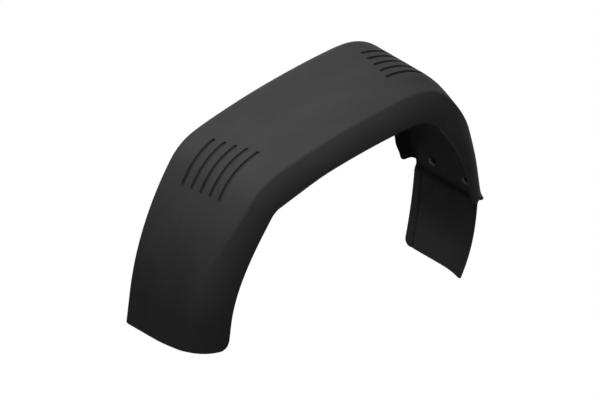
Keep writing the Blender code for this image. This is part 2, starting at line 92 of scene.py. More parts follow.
shell = {
    "frontReach": 0.3865,
    "rearReach": 0.3870,
    "height": 0.3683,
    "width": 0.2234,
    "wall": 0.003,
    "rearDrop": 0.0200,
    "footLip": 0.022,
    "frontTurns": (5.3, 7.0, 39.3, 30.4),  # crown, ease, shoulder, skirt, in degrees
    "rearTurns": (4.5, 2.4, 48.0, 27.0),
    "frontRadii": (0.3825, 0.1165, 0.512),  # ease, shoulder, skirt
    "rearRadii": (0.3825, 0.176, 0.4905),
    "frontSteps": (24, 10, 40, 49, 12, 8),
    "rearSteps": (24, 6, 60, 48, 14, 14),
    "flangeDepth": 0.044,
    "footFlange": 0.037,
    "narrowsFrom": 0.070,
    "crownFillet": 0.018,
    "skirtFillet": 0.0128,
    "filletTightens": (0.164, 0.258),  # between these distances from the crest
    "bendRadius": 0.150,
    "bendTurn": 17,  # turns are in degrees
    "chamferWidth": 0.0265,
    "creaseRadius": 0.008,
    "creaseTurn": 44,
    "sideDepth": 0.0744,
    "archCornerBefore": 0.022,
    "archCornerSpread": 0.120,
    "archCornerDepth": 0.0056,
    "footRadius": 0.0671,
    "footTurn": 84,
    "footFirstTurns": (8, 4, 6),  # the foot's round corner, before the part that ends at the near edge
    "footTuck": 0.0070,
    "frontFades": (0.355, 0.081),  # the crown's section turns into the foot's between these heights
    "rearFades": (0.276, 0.054),
    "sectionSteps": (3, 4, 4, 15, 12, 8, 5, 9, 16, 4, 3),
    "flangeCorner": 0.0115,
    "endZone": 0.09,
    "frontRise": (0.0076, 0.166, 0.074),  # how much, and where it begins and ends from the near edge
    "frontNearCorner": 0.0176,
    "frontNearRise": (0.0135, 0.104),  # the round corner's foot slants up by this much over this length
    "rearRise": (0.040, 0.080, 0.030),
    "rearNearCorner": 0.022,
    "rearFarRise": (0.026, 0.070, 0.004),  # the same, from the flange's edge
    "lip": 0.010,
    "lipRamp": 0.028,
    "lipClears": 0.005,
    "rimRound": 0.0007,
}

edgeShares = (0.7, 0.3)  # how a rounded edge's length is split, with the finer part at the rim


def shellProfile(reach, drop, turns, radii):
    crownTurn = radians(turns[0])
    middle = [arc(radius, turn) for radius, turn in zip(radii, turns[1:])]
    across, down, heading = locate(middle, lengthOf(middle), heading=crownTurn)
    acrossLeft = reach - across
    downLeft = shell["height"] - down
    spread = sin(crownTurn) * sin(heading) - cos(heading) * (1 - cos(crownTurn))
    crownRadius = (acrossLeft * sin(heading) - downLeft * cos(heading)) / spread
    foot = (downLeft - crownRadius * (1 - cos(crownTurn))) / sin(heading)
    straight = foot + drop - shell["footLip"]
    return [arc(crownRadius, turns[0]), *middle, (straight, 0.0), (shell["footLip"], 0.0)]


frontProfile = shellProfile(shell["frontReach"], 0.0, shell["frontTurns"], shell["frontRadii"])
rearProfile = shellProfile(shell["rearReach"], shell["rearDrop"], shell["rearTurns"], shell["rearRadii"])
frontPath = lengthOf(frontProfile)
rearPath = lengthOf(rearProfile)
frontShoulder = lengthOf(frontProfile[:2])  # where the shoulders start, from the crest
rearShoulder = lengthOf(rearProfile[:2])


def shellPoint(along, across, depth):  # along is signed from the crest, depth is under the outer face
    side = 1.0 if along >= 0 else -1.0
    x, drop, slope = locate(rearProfile if along >= 0 else frontProfile, abs(along))
    outward = Vector((side * sin(slope), 0.0, cos(slope)))
    return Vector((side * x, -across, fit["shoulderLine"] - drop)) - depth * outward


# The shell's cross sections, from the flange's edge round to the side wall's edge


def edgeRuns(length, turn, radius, inward):
    runs = [((length - radius), turn * (length - radius) / length)]
    runs += [(share * radius, turn * share * radius / length) for share in edgeShares]
    return list(reversed(runs)) if inward else runs


def crownSection(fillet, flangeDepth):
    corner = [arc(shell["bendRadius"], shell["bendTurn"]), (shell["chamferWidth"], 0.0)]
    corner.append(arc(shell["creaseRadius"], shell["creaseTurn"]))
    across, down, heading = locate(corner, lengthOf(corner))
    wallRadius = (shell["sideDepth"] - down) / cos(heading)
    wallTurn = pi / 2 - heading
    flat = shell["width"] - fillet - across - wallRadius * (1 - sin(heading))
    flange = edgeRuns(flangeDepth - fillet, 0.0, shell["flangeCorner"], True)
    wall = edgeRuns(wallRadius * wallTurn, wallTurn, shell["rearNearCorner"], False)
    return [*flange, arc(fillet, 90), (flat, 0.0), *corner, *wall]


def footFlatEnd():
    return shell["width"] - shell["footTuck"] - shell["footRadius"] * sin(radians(shell["footTurn"]))


def footSection(fillet, flangeDepth):
    radius = shell["footRadius"]
    flange = edgeRuns(flangeDepth - fillet, 0.0, shell["flangeCorner"], True)
    corner = [arc(radius, turn) for turn in shell["footFirstTurns"]]
    wallTurn = radians(shell["footTurn"] - sum(shell["footFirstTurns"]))
    wall = edgeRuns(radius * wallTurn, wallTurn, shell["rearNearCorner"], False)
    return [*flange, arc(fillet, 90), (footFlatEnd() - fillet, 0.0), *corner, *wall]


def frontTrim(fromFlange, fromNear):
    rise, begins, ends = shell["frontRise"]
    nearRise, length = shell["frontNearRise"]
    corners = roundCorner(fromFlange, shell["flangeCorner"])
    corners += roundCorner(fromNear, shell["frontNearCorner"])
    return corners + rise * ramp(fromNear, begins, ends) + nearRise * max(0.0, 1 - fromNear / length)


def rearTrim(fromFlange, fromNear):
    rise, begins, ends = shell["rearRise"]
    farRise, farBegins, farEnds = shell["rearFarRise"]
    corners = roundCorner(fromFlange, shell["flangeCorner"])
    corners += roundCorner(fromNear, shell["rearNearCorner"])
    return corners + rise * ramp(fromNear, begins, ends) + farRise * ramp(fromFlange, farBegins, farEnds)


def lipShare(fromNear):  # the lip is on the round corner only
    radius = shell["footRadius"]
    panelTurn = asin((panel["pastFlat"] + shell["lipClears"]) / radius)
    begins = radius * (radians(shell["footTurn"]) - panelTurn)
    riseBegins, riseEnds = shell["rearRise"][1:]
    return ramp(fromNear, begins, begins - shell["lipRamp"]) * ramp(fromNear, riseEnds, riseBegins)


def archCorner(along):  # the arch's front corner hangs a little lower
    if along > 0:
        return 0.0
    middle = frontShoulder - shell["archCornerBefore"]
    share = 1 - abs(-along - middle) / shell["archCornerSpread"]
    return shell["archCornerDepth"] * ease(share)


def shellRows():
    steps = shell["sectionSteps"]
    front = stopsOf(frontProfile, shell["frontSteps"])[1:]
    alongs = [-s for s in reversed(front)] + stopsOf(rearProfile, shell["rearSteps"])
    rows = []
    for along in alongs:
        rear = along > 0
        reach = abs(along)
        path = rearPath if rear else frontPath
        if rear:
            fade = ramp(path - shell["rearDrop"] - reach, *shell["rearFades"])
        else:
            fade = ramp(path - reach, *shell["frontFades"])
        tightening = ramp(reach, *shell["filletTightens"])
        fillet = shell["crownFillet"] + tightening * (shell["skirtFillet"] - shell["crownFillet"])
        narrowing = ramp(path - reach, shell["narrowsFrom"], 0.0)
        flangeDepth = shell["flangeDepth"] + narrowing * (shell["footFlange"] - shell["flangeDepth"])
        crownRuns = crownSection(fillet, flangeDepth)
        footRuns = footSection(fillet, flangeDepth)
        footStops = stopsOf(footRuns, steps)
        crown = [locate(crownRuns, s, (0.0, flangeDepth), -pi / 2) for s in stopsOf(crownRuns, steps)]
        foot = [locate(footRuns, s, (0.0, flangeDepth), -pi / 2) for s in footStops]
        row = []
        for top, low, stop in zip(crown, foot, footStops):
            across = top[0] + fade * (low[0] - top[0])
            depth = top[1] + fade * (low[1] - top[1])
            if low[2] > 0:
                depth += archCorner(along) * (depth / shell["sideDepth"]) ** 2
            fromNear = footStops[-1] - stop
            trim = rearTrim(stop, fromNear) if rear else frontTrim(stop, fromNear)
            place = reach - trim * max(0.0, 1 - (path - reach) / shell["endZone"])
            if rear:
                flare = max(0.0, 1 - (path - trim - place) / shell["footLip"])
                lip = shell["lip"] * flare**2 * lipShare(fromNear)
                across += lip * sin(low[2])
                depth -= lip * cos(low[2])
            row.append(shellPoint(place if rear else -place, across, depth))
        rows.append(row)
    return rows


# The extension panel's shape

panel = {
    "wall": 0.003,
    "overlap": 0.042,
    "below": 0.1775,
    "farEdge": 0.0005,
    "pastFlat": 0.0134,
    "joggle": 0.010,
    "joggleTurn": 39.6,  # degrees
    "sweepFrom": 95.2,  # degrees from level where the long sweep starts
    "sweepRadius": 0.958,
    "curlWidth": 0.0674,
    "curlRadius": 0.1555,
    "curlGrowth": 3,  # the curl grows with this power of the height down the panel
    "beadFrom": 0.018,
    "beadWidth": 0.007,
    "beadDepth": 0.0018,
    "farCorner": 0.014,
    "nearCorner": 0.008,
    "profileSteps": (8, 8, 12, 9, 40, 8),
    "sectionSteps": (4, 6, 2, 12, 15, 30, 8),
}


def panelStart():
    along = rearPath - panel["overlap"]
    point = shellPoint(along, 0.0, -fit["clearance"] - panel["wall"])
    return (point.x, -point.z), locate(rearProfile, along)[2]


def panelProfile(heading):
    turn = radians(panel["joggleTurn"])
    sweep = panel["below"] - 2 * panel["joggle"]
    sweepTurn = sweep / panel["sweepRadius"]
    share = panel["farCorner"] / sweep
    return [
        (panel["farCorner"], 0.0),
        (panel["overlap"] - panel["farCorner"], 0.0),
        (panel["joggle"], turn),
        (panel["joggle"], radians(panel["sweepFrom"]) - heading - turn),
        (sweep * (1 - share), sweepTurn * (1 - share)),
        (sweep * share, sweepTurn * share),
    ]


def panelSection():
    curlFrom = footFlatEnd() + panel["pastFlat"] - panel["curlWidth"]
    curlTurn = asin(panel["curlWidth"] / panel["curlRadius"])
    curl = panel["curlRadius"] * curlTurn
    share = panel["nearCorner"] / curl
    return [
        *[(edge * panel["farCorner"], 0.0) for edge in reversed(edgeShares)],
        (panel["beadFrom"] - panel["farCorner"], 0.0),
        (panel["beadWidth"], 0.0),
        (curlFrom - panel["farEdge"] - panel["beadFrom"] - panel["beadWidth"], 0.0),
        (curl * (1 - share), curlTurn * (1 - share)),
        (curl * share, curlTurn * share),
    ]


def panelRows():
    start, heading = panelStart()
    profile = panelProfile(heading)
    height = lengthOf(profile)
    section = panelSection()
    sectionStops = stopsOf(section, panel["sectionSteps"])
    foot = [locate(section, stop, (panel["farEdge"], 0.0))[:2] for stop in sectionStops]
    rows = []
    for along in stopsOf(profile, panel["profileSteps"]):
        downPanel = max(0.0, (along - panel["overlap"]) / (height - panel["overlap"]))
        curlShare = downPanel ** panel["curlGrowth"]
        toFoot = max(0.0, 2 * along / height - 1)
        toTop = max(0.0, 1 - along / panel["overlap"])
        row = []
        for (footAcross, curl), stop in zip(foot, sectionStops):
            flatAcross = panel["farEdge"] + stop
            across = flatAcross + curlShare * (footAcross - flatAcross)
            inBead = (stop - panel["beadFrom"]) / panel["beadWidth"]
            bead = panel["beadDepth"] * ease(1 - abs(2 * inBead - 1))
            trim = roundCorner(stop, panel["farCorner"])
            trim += roundCorner(sectionStops[-1] - stop, panel["nearCorner"])
            x, down, slope = locate(profile, along + trim * (toTop - toFoot), start, heading)
            outward = Vector((sin(slope), 0.0, cos(slope)))
            row.append(Vector((x, -across, -down)) - (curlShare * curl - bead) * outward)
        rows.append(row)
    return rows


# Working on one object at a time

modelling = {
    "mergeWithin": 0.000002,
    "onPlane": 0.000001,
    "smoothAngle": 32,
    "rimAngle": 60,  # only edges sharper than this are rounded
    "rimSegments": 2,
}


def leaveEditMode():
    if bpy.context.mode != "OBJECT":
        bpy.ops.object.mode_set(mode="OBJECT")


def makeActive(obj):
    leaveEditMode()
    bpy.ops.object.select_all(action="DESELECT")
    obj.select_set(True)
    bpy.context.view_layer.objects.active = obj


def namedActive(name):
    obj = bpy.context.active_object
    obj.name = name
    obj.data.name = name
    return obj


def applyModifier(obj, kind, **settings):
    makeActive(obj)
    modifier = obj.modifiers.new(kind.lower(), kind)
    for setting, value in settings.items():
        setattr(modifier, setting, value)
    bpy.ops.object.modifier_apply(modifier=modifier.name)


def roundEdges(obj, width, angle):
    segments = modelling["rimSegments"]
    limit = radians(angle)
    applyModifier(obj, "BEVEL", width=width, segments=segments, limit_method="ANGLE", angle_limit=limit)


def boolean(obj, helper, operation):
    applyModifier(obj, "BOOLEAN", operation=operation, solver="EXACT", object=helper)


def joined(name, objects):
    makeActive(objects[0])
    for obj in objects:
        obj.select_set(True)
    bpy.ops.object.join()
    return namedActive(name)


def dropHelper(obj):
    leaveEditMode()
    bpy.data.objects.remove(obj, do_unlink=True)


def cleanFaces(obj):
    makeActive(obj)
    bpy.ops.object.mode_set(mode="EDIT")
    bpy.ops.mesh.select_all(action="SELECT")
    bpy.ops.mesh.remove_doubles(threshold=modelling["mergeWithin"])
    bpy.ops.mesh.normals_make_consistent(inside=False)
    leaveEditMode()


def selectWhere(obj, chosen):  # ends in edit mode, with what lies there selected
    makeActive(obj)
    bpy.ops.object.mode_set(mode="EDIT")
    bpy.ops.mesh.select_all(action="DESELECT")
    leaveEditMode()
    for vertex in obj.data.vertices:
        vertex.select = chosen(vertex.co)
    for item in [*obj.data.edges, *obj.data.polygons]:
        item.select = all(obj.data.vertices[v].select for v in item.vertices)
    bpy.ops.object.mode_set(mode="EDIT")


def atOrigin(obj, matrix):  # put in its place, with its own origin left at the scene's
    makeActive(obj)
    obj.matrix_world = matrix
    bpy.ops.object.transform_apply(location=True, rotation=True, scale=True)


def cylinder(name, radius, low, high, sides):
    bpy.ops.object.select_all(action="DESELECT")
    bpy.ops.mesh.primitive_cylinder_add(
        vertices=sides, radius=radius, depth=high - low, location=(0.0, 0.0, (low + high) / 2)
    )
    obj = namedActive(name)
    bpy.ops.object.transform_apply(location=True, rotation=True, scale=True)
    return obj


def turned(name, rings, sides):
    bpy.ops.object.select_all(action="DESELECT")
    radius, height = rings[0]
    bpy.ops.mesh.primitive_circle_add(
        vertices=sides, radius=radius, fill_type="NGON", location=(0.0, 0.0, height)
    )
    obj = namedActive(name)
    bpy.ops.object.transform_apply(location=True, rotation=True, scale=True)
    bpy.ops.object.mode_set(mode="EDIT")
    bpy.ops.mesh.select_all(action="SELECT")
    for wider, higher in rings[1:]:
        upwards = {"value": (0.0, 0.0, higher - height)}
        bpy.ops.mesh.extrude_region_move(TRANSFORM_OT_translate=upwards)
        grown = (wider / radius, wider / radius, 1.0)
        bpy.ops.transform.resize(value=grown, center_override=(0.0, 0.0, higher))
        radius, height = wider, higher
    leaveEditMode()
    cleanFaces(obj)
    return obj


def seated(obj, material, nodes):
    makeActive(obj)
    bpy.ops.object.shade_smooth_by_angle(angle=radians(modelling["smoothAngle"]))
    obj.data.materials.clear()
    obj.data.materials.append(material)
    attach(obj, "root")
    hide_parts(*nodes)


def sheetThrough(name, rows, wall):
    columns = len(rows[0]) - 1
    lines = len(rows) - 1
    bpy.ops.object.select_all(action="DESELECT")
    bpy.ops.mesh.primitive_grid_add(x_subdivisions=columns, y_subdivisions=lines, size=2)
    sheet = namedActive(name)
    for vertex in sheet.data.vertices:  # the flat grid is laid over the moulding's face
        column = round((vertex.co.x + 1) / 2 * columns)
        line = round((vertex.co.y + 1) / 2 * lines)
        vertex.co = rows[line][column]
    applyModifier(sheet, "SOLIDIFY", thickness=wall, offset=-1.0, use_even_offset=True)
    roundEdges(sheet, shell["rimRound"], modelling["rimAngle"])
    return sheet


# Marks of use, painted shade and painted light, kept on the meshes for the materials

finish = {  # how far each mark spreads, and how strong it is
    "rimWear": (0.0035, 0.6),
    # a painted highlight on the middle of each bolt head's top
    "paintedHeadHighlight": (0.0032, 1.0),
    # painted shade: darker in joints, corners, grooves and along the bead
    "footPaintedShade": (0.013, 0.6),
    "cornerPaintedShade": (0.020, 1.0),
    "cornerColumns": 16,
    "groovePaintedShade": (0.0042, 0.8),
    "groovePaintedShadePoints": 40,
    "beadPaintedShade": (0.0032, 0.75),
    "jogglePaintedShade": (0.009, 0.7),
    # painted light: paler over the lower middle of the panel
    "paintedLight": (0.050, 1.0),
    "paintedLightRows": 14,
    "paintedLightColumns": (30, 44),
}


def rimPoints(rows):
    return rows[0] + rows[-1] + [row[0] for row in rows] + [row[-1] for row in rows]


def markNear(obj, name, points, reach, strength, wheelSide=False):  # fades out past the reach
    tree = KDTree(len(points))
    for index, point in enumerate(points):
        tree.insert(point, index)
    tree.balance()
    layer = obj.data.attributes.get(name) or obj.data.attributes.new(name, "FLOAT", "POINT")
    for vertex in obj.data.vertices:
        if wheelSide and vertex.normal.x > 0:
            continue
        value = strength * exp(-((tree.find(vertex.co)[2] / reach) ** 2))
        layer.data[vertex.index].value = max(layer.data[vertex.index].value, value)


# The shell with its grooves

grooves = {
    "perShoulder": 5,
    "pitch": 0.023,
    "firstAcross": 0.0555,
    "width": 0.0070,
    "depth": 0.0052,  # a little deeper than the solid's, for the dark line that the real ones show
    "floor": 0.002,
    "mouth": 0.0004,
    "cornerRound": 0.0012,
    "ribRound": 0.0008,
    "cutFrom": -0.002,  # a cutter starts this far over the face
    "length": 0.111,
    "lengthStep": 0.0045,
    "beforeFrontShoulder": 0.0044,
    "pastRearShoulder": 0.0205,
    "shiftStep": 0.0065,
    "slice": 0.0045,
    "sides": 24,
    "roundSegments": 3,
}


def capsule(name, length, halfWidth, top, bottom, mouth, rounded):
    sides = grooves["sides"]
    bpy.ops.object.select_all(action="DESELECT")
    bpy.ops.mesh.primitive_cylinder_add(
        vertices=sides,
        radius=halfWidth,
        depth=bottom - top,
        location=(0.0, 0.0, (top + bottom) / 2),
        rotation=(0.0, 0.0, pi / sides),
    )
    bar = namedActive(name)
    bpy.ops.object.transform_apply(location=True, rotation=True, scale=True)
    span = length - 2 * halfWidth
    onPlane = modelling["onPlane"]
    selectWhere(bar, lambda place: place.x > 0)
    bpy.ops.transform.translate(value=(span, 0.0, 0.0))
    selectWhere(bar, lambda place: abs(place.z - bottom) < onPlane)  # the foot's corners are round
    bpy.ops.mesh.bevel(offset=rounded, segments=grooves["roundSegments"])
    cuts = max(2, ceil(span / grooves["slice"]))
    for cut in range(1, cuts):
        bpy.ops.mesh.select_all(action="SELECT")
        bpy.ops.mesh.bisect(plane_co=(span * cut / cuts, 0.0, 0.0), plane_no=(1.0, 0.0, 0.0))
    if mouth:
        bpy.ops.mesh.select_all(action="SELECT")
        bpy.ops.mesh.bisect(plane_co=(0.0, 0.0, mouth), plane_no=(0.0, 0.0, 1.0))
    leaveEditMode()
    for vertex in bar.data.vertices:  # the mouth is chamfered outwards
        if mouth and vertex.co.z < mouth - onPlane:
            middle = Vector((min(max(vertex.co.x, 0.0), span), 0.0, vertex.co.z))
            away = (vertex.co - middle).normalized()
            vertex.co += away * (mouth - vertex.co.z)
    return bar


def grooveLines():  # the side, where it starts from the crest, the place across and the length of each
    frontStart = frontShoulder - grooves["beforeFrontShoulder"]
    rearStart = rearShoulder + grooves["pastRearShoulder"]
    lines = []
    for k in range(grooves["perShoulder"]):
        across = grooves["firstAcross"] + k * grooves["pitch"]
        length = grooves["length"] + k * grooves["lengthStep"]
        for side, first in ((-1, frontStart), (1, rearStart)):
            lines.append((side, first - k * grooves["shiftStep"], across, length))
    return lines


def grooveBars(name, extra, top, bottom, mouth, rounded):
    bars = []
    halfWidth = grooves["width"] / 2 + extra
    for side, start, across, length in grooveLines():
        bar = capsule(name, length + 2 * extra, halfWidth, top, bottom, mouth, rounded)
        for vertex in bar.data.vertices:  # bent round the shoulder
            along = side * (start - extra + halfWidth + vertex.co.x)
            vertex.co = shellPoint(along, across + vertex.co.y, vertex.co.z)
        cleanFaces(bar)
        bars.append(bar)
    return joined(name, bars)


def grooveFloors():
    places = []
    last = finish["groovePaintedShadePoints"] - 1
    for side, start, across, length in grooveLines():
        for step in range(last + 1):
            along = side * (start + length * step / last)
            places.append(shellPoint(along, across, grooves["depth"]))
    return places


def buildShell(holes, material):
    rows = shellRows()
    guard = sheetThrough("mudguardShell", rows, shell["wall"])
    floor, depth = grooves["floor"], grooves["depth"]
    ribs = grooveBars("grooveRibs", floor, shell["wall"] / 2, depth + floor, 0.0, grooves["ribRound"])
    boolean(guard, ribs, "UNION")
    dropHelper(ribs)
    cutFrom, mouth, rounded = grooves["cutFrom"], grooves["mouth"], grooves["cornerRound"]
    cutters = grooveBars("grooveCutters", 0.0, cutFrom, depth, mouth, rounded)
    boolean(guard, cutters, "DIFFERENCE")
    dropHelper(cutters)
    boolean(guard, holes, "DIFFERENCE")
    rearCorner = rows[-1][-finish["cornerColumns"] :]
    markNear(guard, "rimWear", rimPoints(rows), *finish["rimWear"])
    # painted shade on the wheel side along the rear foot and in its near corner, and in the grooves
    markNear(guard, "paintedShade", rows[-1], *finish["footPaintedShade"], wheelSide=True)
    markNear(guard, "paintedShade", rearCorner, *finish["cornerPaintedShade"], wheelSide=True)
    markNear(guard, "paintedShade", grooveFloors(), *finish["groovePaintedShade"])
    seated(guard, material, ["guard_shell"])
    print("shell:", len(guard.data.polygons), "faces")


# The extension panel


def buildPanel(holes, material):
    rows = panelRows()
    sheet = sheetThrough("extensionPanel", rows, panel["wall"])
    boolean(sheet, holes, "DIFFERENCE")
    overlapRows, joggleRows = sum(panel["profileSteps"][:2]), panel["profileSteps"][2]
    joggle = rows[overlapRows : overlapRows + joggleRows]
    beadEdge = sum(panel["sectionSteps"][:3]) + 1
    first, last = finish["paintedLightColumns"]
    paintedLightPlaces = [point for row in rows[-finish["paintedLightRows"] :] for point in row[first:last]]
    markNear(sheet, "rimWear", rimPoints(rows), *finish["rimWear"])
    # painted shade along the bead, over the joggle and in the joggle's near corner
    markNear(sheet, "paintedShade", [row[beadEdge] for row in rows], *finish["beadPaintedShade"])
    markNear(sheet, "paintedShade", [point for row in joggle for point in row], *finish["jogglePaintedShade"])
    markNear(sheet, "paintedShade", [row[-1] for row in joggle], *finish["cornerPaintedShade"])
    # painted light: the lower middle of the panel is made paler
    markNear(sheet, "paintedLight", paintedLightPlaces, *finish["paintedLight"])
    seated(sheet, material, ["rear_extension"])
    print("extension panel:", len(sheet.data.polygons), "faces")


# The bolts, washers and lock nuts

bolt = {
    "width": 0.006,
    "aboveFoot": 0.0293,
    "fromBead": 0.0180,
    "fromCorner": 0.0017,
    "headWidth": 0.0115,
    "headHeight": 0.0036,
    "headRim": 0.2,  # the upright part of the head, as a share of its height
    "domeFrom": 70,  # degrees up the dome, where its flat top begins
    "domeStep": 10,
    "socketAcross": 0.004,
    "socketDepth": 0.002,
    "plainShank": 0.010,
    "pastNut": 0.002,
    "threadPitch": 0.001,
    "threadDepth": 0.00045,
    "endChamfer": 0.0006,
    "sides": 48,
}

washer = {"width": 0.016, "height": 0.0014, "edgeRound": 0.0002, "edgeAngle": 50}

nut = {
    "across": 0.010,
    "height": 0.005,
    "cornerChamfers": (0.0011, 0.0008),  # at the seat and at the collar
    "cornerOver": 0.0001,
    "collarWidth": 0.0088,
    "collarHeight": 0.0025,
    "collarChamfer": (0.0006, 0.0007),  # across and down
}

hexagon = 6  # sides of the nuts and of the bolts' sockets


def boltPlaces():  # one by the panel's bead, one where the skirt's flat ends
    beadEnds = panel["farEdge"] + panel["beadFrom"] + panel["beadWidth"]
    far = beadEnds + bolt["fromBead"] + washer["width"] / 2
    return [far, footFlatEnd() - bolt["fromCorner"] - washer["width"] / 2]


def boltMatrix(across):  # its Z points out of the skirt, from the skirt's outer face
    along = rearPath - bolt["aboveFoot"]
    slope = locate(rearProfile, along)[2]
    outward = Vector((sin(slope), 0.0, cos(slope)))
    turn = outward.to_track_quat("Z", "Y").to_matrix().to_4x4()
    return Matrix.Translation(shellPoint(along, across, 0.0)) @ turn


def boreThrough(name, low, high):
    return cylinder(name, bolt["width"] / 2 + fit["clearance"], low, high, bolt["sides"])


def boltHoles():
    reach = shell["wall"] + panel["wall"] + bolt["width"]
    holes = []
    for across in boltPlaces():
        hole = boreThrough("boltHole", -reach, reach)
        atOrigin(hole, boltMatrix(across))
        holes.append(hole)
    return joined("boltHoles", holes)


def stackLevels():  # heights on the bolt's axis, from the wheel side outwards
    gap = fit["clearance"]
    innerWasher = -shell["wall"] - gap - washer["height"]
    outerWasher = gap + panel["wall"] + gap
    nutSeat = outerWasher + washer["height"] + gap
    nutTop = nutSeat + nut["height"] + nut["collarHeight"]
    return innerWasher, innerWasher - gap, outerWasher, nutSeat, nutTop


def buildBolt(name, headSeat, end):
    head = bolt["headWidth"] / 2
    shank = bolt["width"] / 2
    height = bolt["headHeight"]
    rim = bolt["headRim"] * height
    angles = [radians(a) for a in range(bolt["domeFrom"], -1, -bolt["domeStep"])]
    dome = [(head * cos(a), headSeat - rim - (height - rim) * sin(a)) for a in angles]
    thread = []
    level = headSeat + bolt["plainShank"]
    while level < end - bolt["threadPitch"]:
        thread.append((shank, level))
        thread.append((shank - bolt["threadDepth"], level + bolt["threadPitch"] / 2))
        level += bolt["threadPitch"]
    rings = [*dome, (head, headSeat), (shank, headSeat), *thread, (shank - bolt["endChamfer"], end)]
    piece = turned(name, rings, bolt["sides"])
    floor = headSeat - height + bolt["socketDepth"]
    socket = cylinder("socket", bolt["socketAcross"] / sqrt(3), headSeat - 2 * height, floor, hexagon)
    boolean(piece, socket, "DIFFERENCE")
    dropHelper(socket)
    # painted highlight on the middle of the head's top
    markNear(piece, "paintedHeadHighlight", [Vector((0.0, 0.0, headSeat - height))], *finish["paintedHeadHighlight"])
    return piece


def buildWasher(name):
    piece = cylinder(name, washer["width"] / 2, 0.0, washer["height"], bolt["sides"])
    hole = boreThrough("washerHole", -washer["width"], washer["width"])
    boolean(piece, hole, "DIFFERENCE")
    dropHelper(hole)
    roundEdges(piece, washer["edgeRound"], washer["edgeAngle"])
    return piece


def buildNut(name):
    corner = nut["across"] / sqrt(3)
    height = nut["height"]
    top = height + nut["collarHeight"]
    collar = nut["collarWidth"] / 2
    inside, over = nut["across"] / 2, nut["cornerOver"]
    low, high = nut["cornerChamfers"]
    chamferAcross, chamferDown = nut["collarChamfer"]
    piece = cylinder(name, corner, 0.0, height, hexagon)
    outline = [(inside, -over), (corner, low), (corner, height - high), (inside, height + over)]
    rounding = turned("nutRounding", outline, bolt["sides"])
    boolean(piece, rounding, "INTERSECT")
    dropHelper(rounding)
    outline = [(collar, height / 2), (collar, top - chamferDown), (collar - chamferAcross, top)]
    crown = turned("nutCollar", outline, bolt["sides"])
    boolean(piece, crown, "UNION")
    dropHelper(crown)
    bore = boreThrough("nutBore", -height, 2 * top)
    boolean(piece, bore, "DIFFERENCE")
    dropHelper(bore)
    return piece


def buildJoints(material):
    innerWasher, headSeat, outerWasher, nutSeat, nutTop = stackLevels()
    for number, across in enumerate(boltPlaces(), start=1):
        matrix = boltMatrix(across)
        piece = buildBolt(f"buttonHeadBolt{number}", headSeat, nutTop + bolt["pastNut"])
        atOrigin(piece, matrix)
        seated(piece, material, [f"extension_bolt_{number}"])
        for place, level in (("inner", innerWasher), ("outer", outerWasher)):
            piece = buildWasher(f"{place}Washer{number}")
            atOrigin(piece, matrix @ Matrix.Translation((0.0, 0.0, level)))
            seated(piece, material, [f"{place}_washer_{number}"])
        piece = buildNut(f"lockNut{number}")
        atOrigin(piece, matrix @ Matrix.Translation((0.0, 0.0, nutSeat)))
        seated(piece, material, [f"lock_nut_{number}"])
    print("bolted joints:", len(boltPlaces()))


# Materials

shellPlastic = {
    "hex": "404040",
    "paleHex": "444445",
    "wearAndHighlightHex": "4a4a4b",
    # colour of the painted light, paler lower down the panel
    "paintedLightHex": "525252",
    # colour of the painted shade
    "paintedShadeHex": "1c1c1c",
    "roughness": (0.50, 0.60),
}

panelPlastic = {
    "hex": "454545",
    "paleHex": "4a4a4b",
    "wearAndHighlightHex": "58585a",
    # colour of the painted light, paler lower down the panel
    "paintedLightHex": "5c5c5c",
    # colour of the painted shade
    "paintedShadeHex": "1c1c1c",
    "roughness": (0.52, 0.62),
}

tooling = {  # what both mouldings have
    "ior": 1.49,
    "specular": 0.01,
    "flow": (1 / 9, 4.0, 0.55),  # length, detail and roughness of the marks' pattern
    "grain": (0.0022, 2.0, 0.6),  # the real one is about 0.3 mm, too fine to show, so it is drawn coarser
    "scuff": (1 / 140, 3.0, 0.7),
    "grainDepth": 0.00006,
    "stretch": (1.0, 3.0, 1.0),  # draws the flow marks out along the guard
    "wearAndHighlightBreakup": (0.15, 1.0),  # how far the scuffs break up the worn rims, the painted shade and the painted light
    "broken": (0.8, 1.0),
}

blackZinc = {
    "hex": "1d1d1c",
    "dullHex": "151515",
    # colour of the painted highlight on the heads
    "wearAndHighlightHex": "545453",
    "roughness": (0.38, 0.52),
    # how the spots break up the painted highlight
    "wearAndHighlightBreakup": (1.0, 0.8),
    "spot": 0.0015,
}

noiseSpan = (0.3, 0.7)  # nearly all of a noise lies between these


def linear(code):
    channels = [int(code[k : k + 2], 16) / 255 for k in (0, 2, 4)]
    return [c / 12.92 if c <= 0.04045 else ((c + 0.055) / 1.055) ** 2.4 for c in channels] + [1.0]


def addNode(tree, kind, settings=None, **sockets):
    node = tree.nodes.new("ShaderNode" + kind)
    for name, value in (settings or {}).items():
        setattr(node, name, value)
    for name, value in sockets.items():
        number = int(name[2:]) if name.startswith("at") and name[2:].isdigit() else None
        socket = node.inputs[number] if number is not None else node.inputs[name.replace("_", " ")]
        if isinstance(value, bpy.types.NodeSocket):
            tree.links.new(value, socket)
        else:
            socket.default_value = value
    return node


def startMaterial(name):
    material = bpy.data.materials.new(name)
    material.use_nodes = True
    tree = material.node_tree
    shader = tree.nodes["Principled BSDF"]
    where = addNode(tree, "TexCoord").outputs["Object"]
    return material, tree, shader, where


def mixed(tree, share, low, high):
    node = addNode(tree, "Mix", {"data_type": "RGBA"}, at0=share, at6=low, at7=high)
    return node.outputs[2]


def between(tree, noise, low, high):
    begins, ends = noiseSpan
    node = addNode(tree, "MapRange", at0=noise, at1=begins, at2=ends, at3=low, at4=high)
    return node.outputs[0]


def marked(tree, layer, scuffs, colour, code):  # a mark from the mesh, broken up by the scuffs
    mark = addNode(tree, "Attribute", {"attribute_name": layer}).outputs["Fac"]
    share = addNode(tree, "Math", {"operation": "MULTIPLY"}, at0=mark, at1=scuffs).outputs[0]
    return mixed(tree, share, colour, linear(code))


